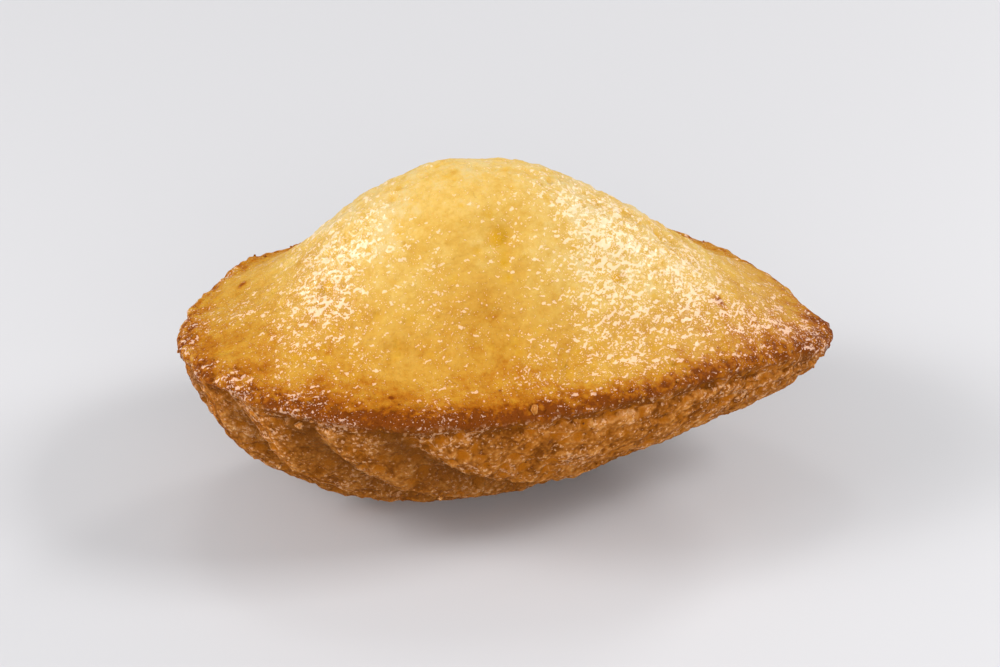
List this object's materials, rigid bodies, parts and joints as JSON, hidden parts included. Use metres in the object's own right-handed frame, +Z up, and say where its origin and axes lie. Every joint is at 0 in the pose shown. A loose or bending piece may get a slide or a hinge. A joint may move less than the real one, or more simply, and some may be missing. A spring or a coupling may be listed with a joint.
{
  "type": "madeleine cake",
  "caption": "Small shell-shaped sponge cake lying on its ribbed underside, with a browned rim, a pointed end and a tall rounded golden hump.",
  "frame": {"origin": "on the table, under the middle of the cake's bounding box", "axes": "+X towards the pointed tip of the shell, along its length; +Z up, through the hump; -Y is the side with the straighter rim"},
  "size_m": [0.078, 0.0472, 0.0406],
  "materials": {
    "sponge": "baked golden sponge, pale yellow on the hump, brown at the rim, with a fine buttery shine"
  },
  "bodies": {
    "root": {"madeleine": "sponge"}
  },
  "joints": []
}
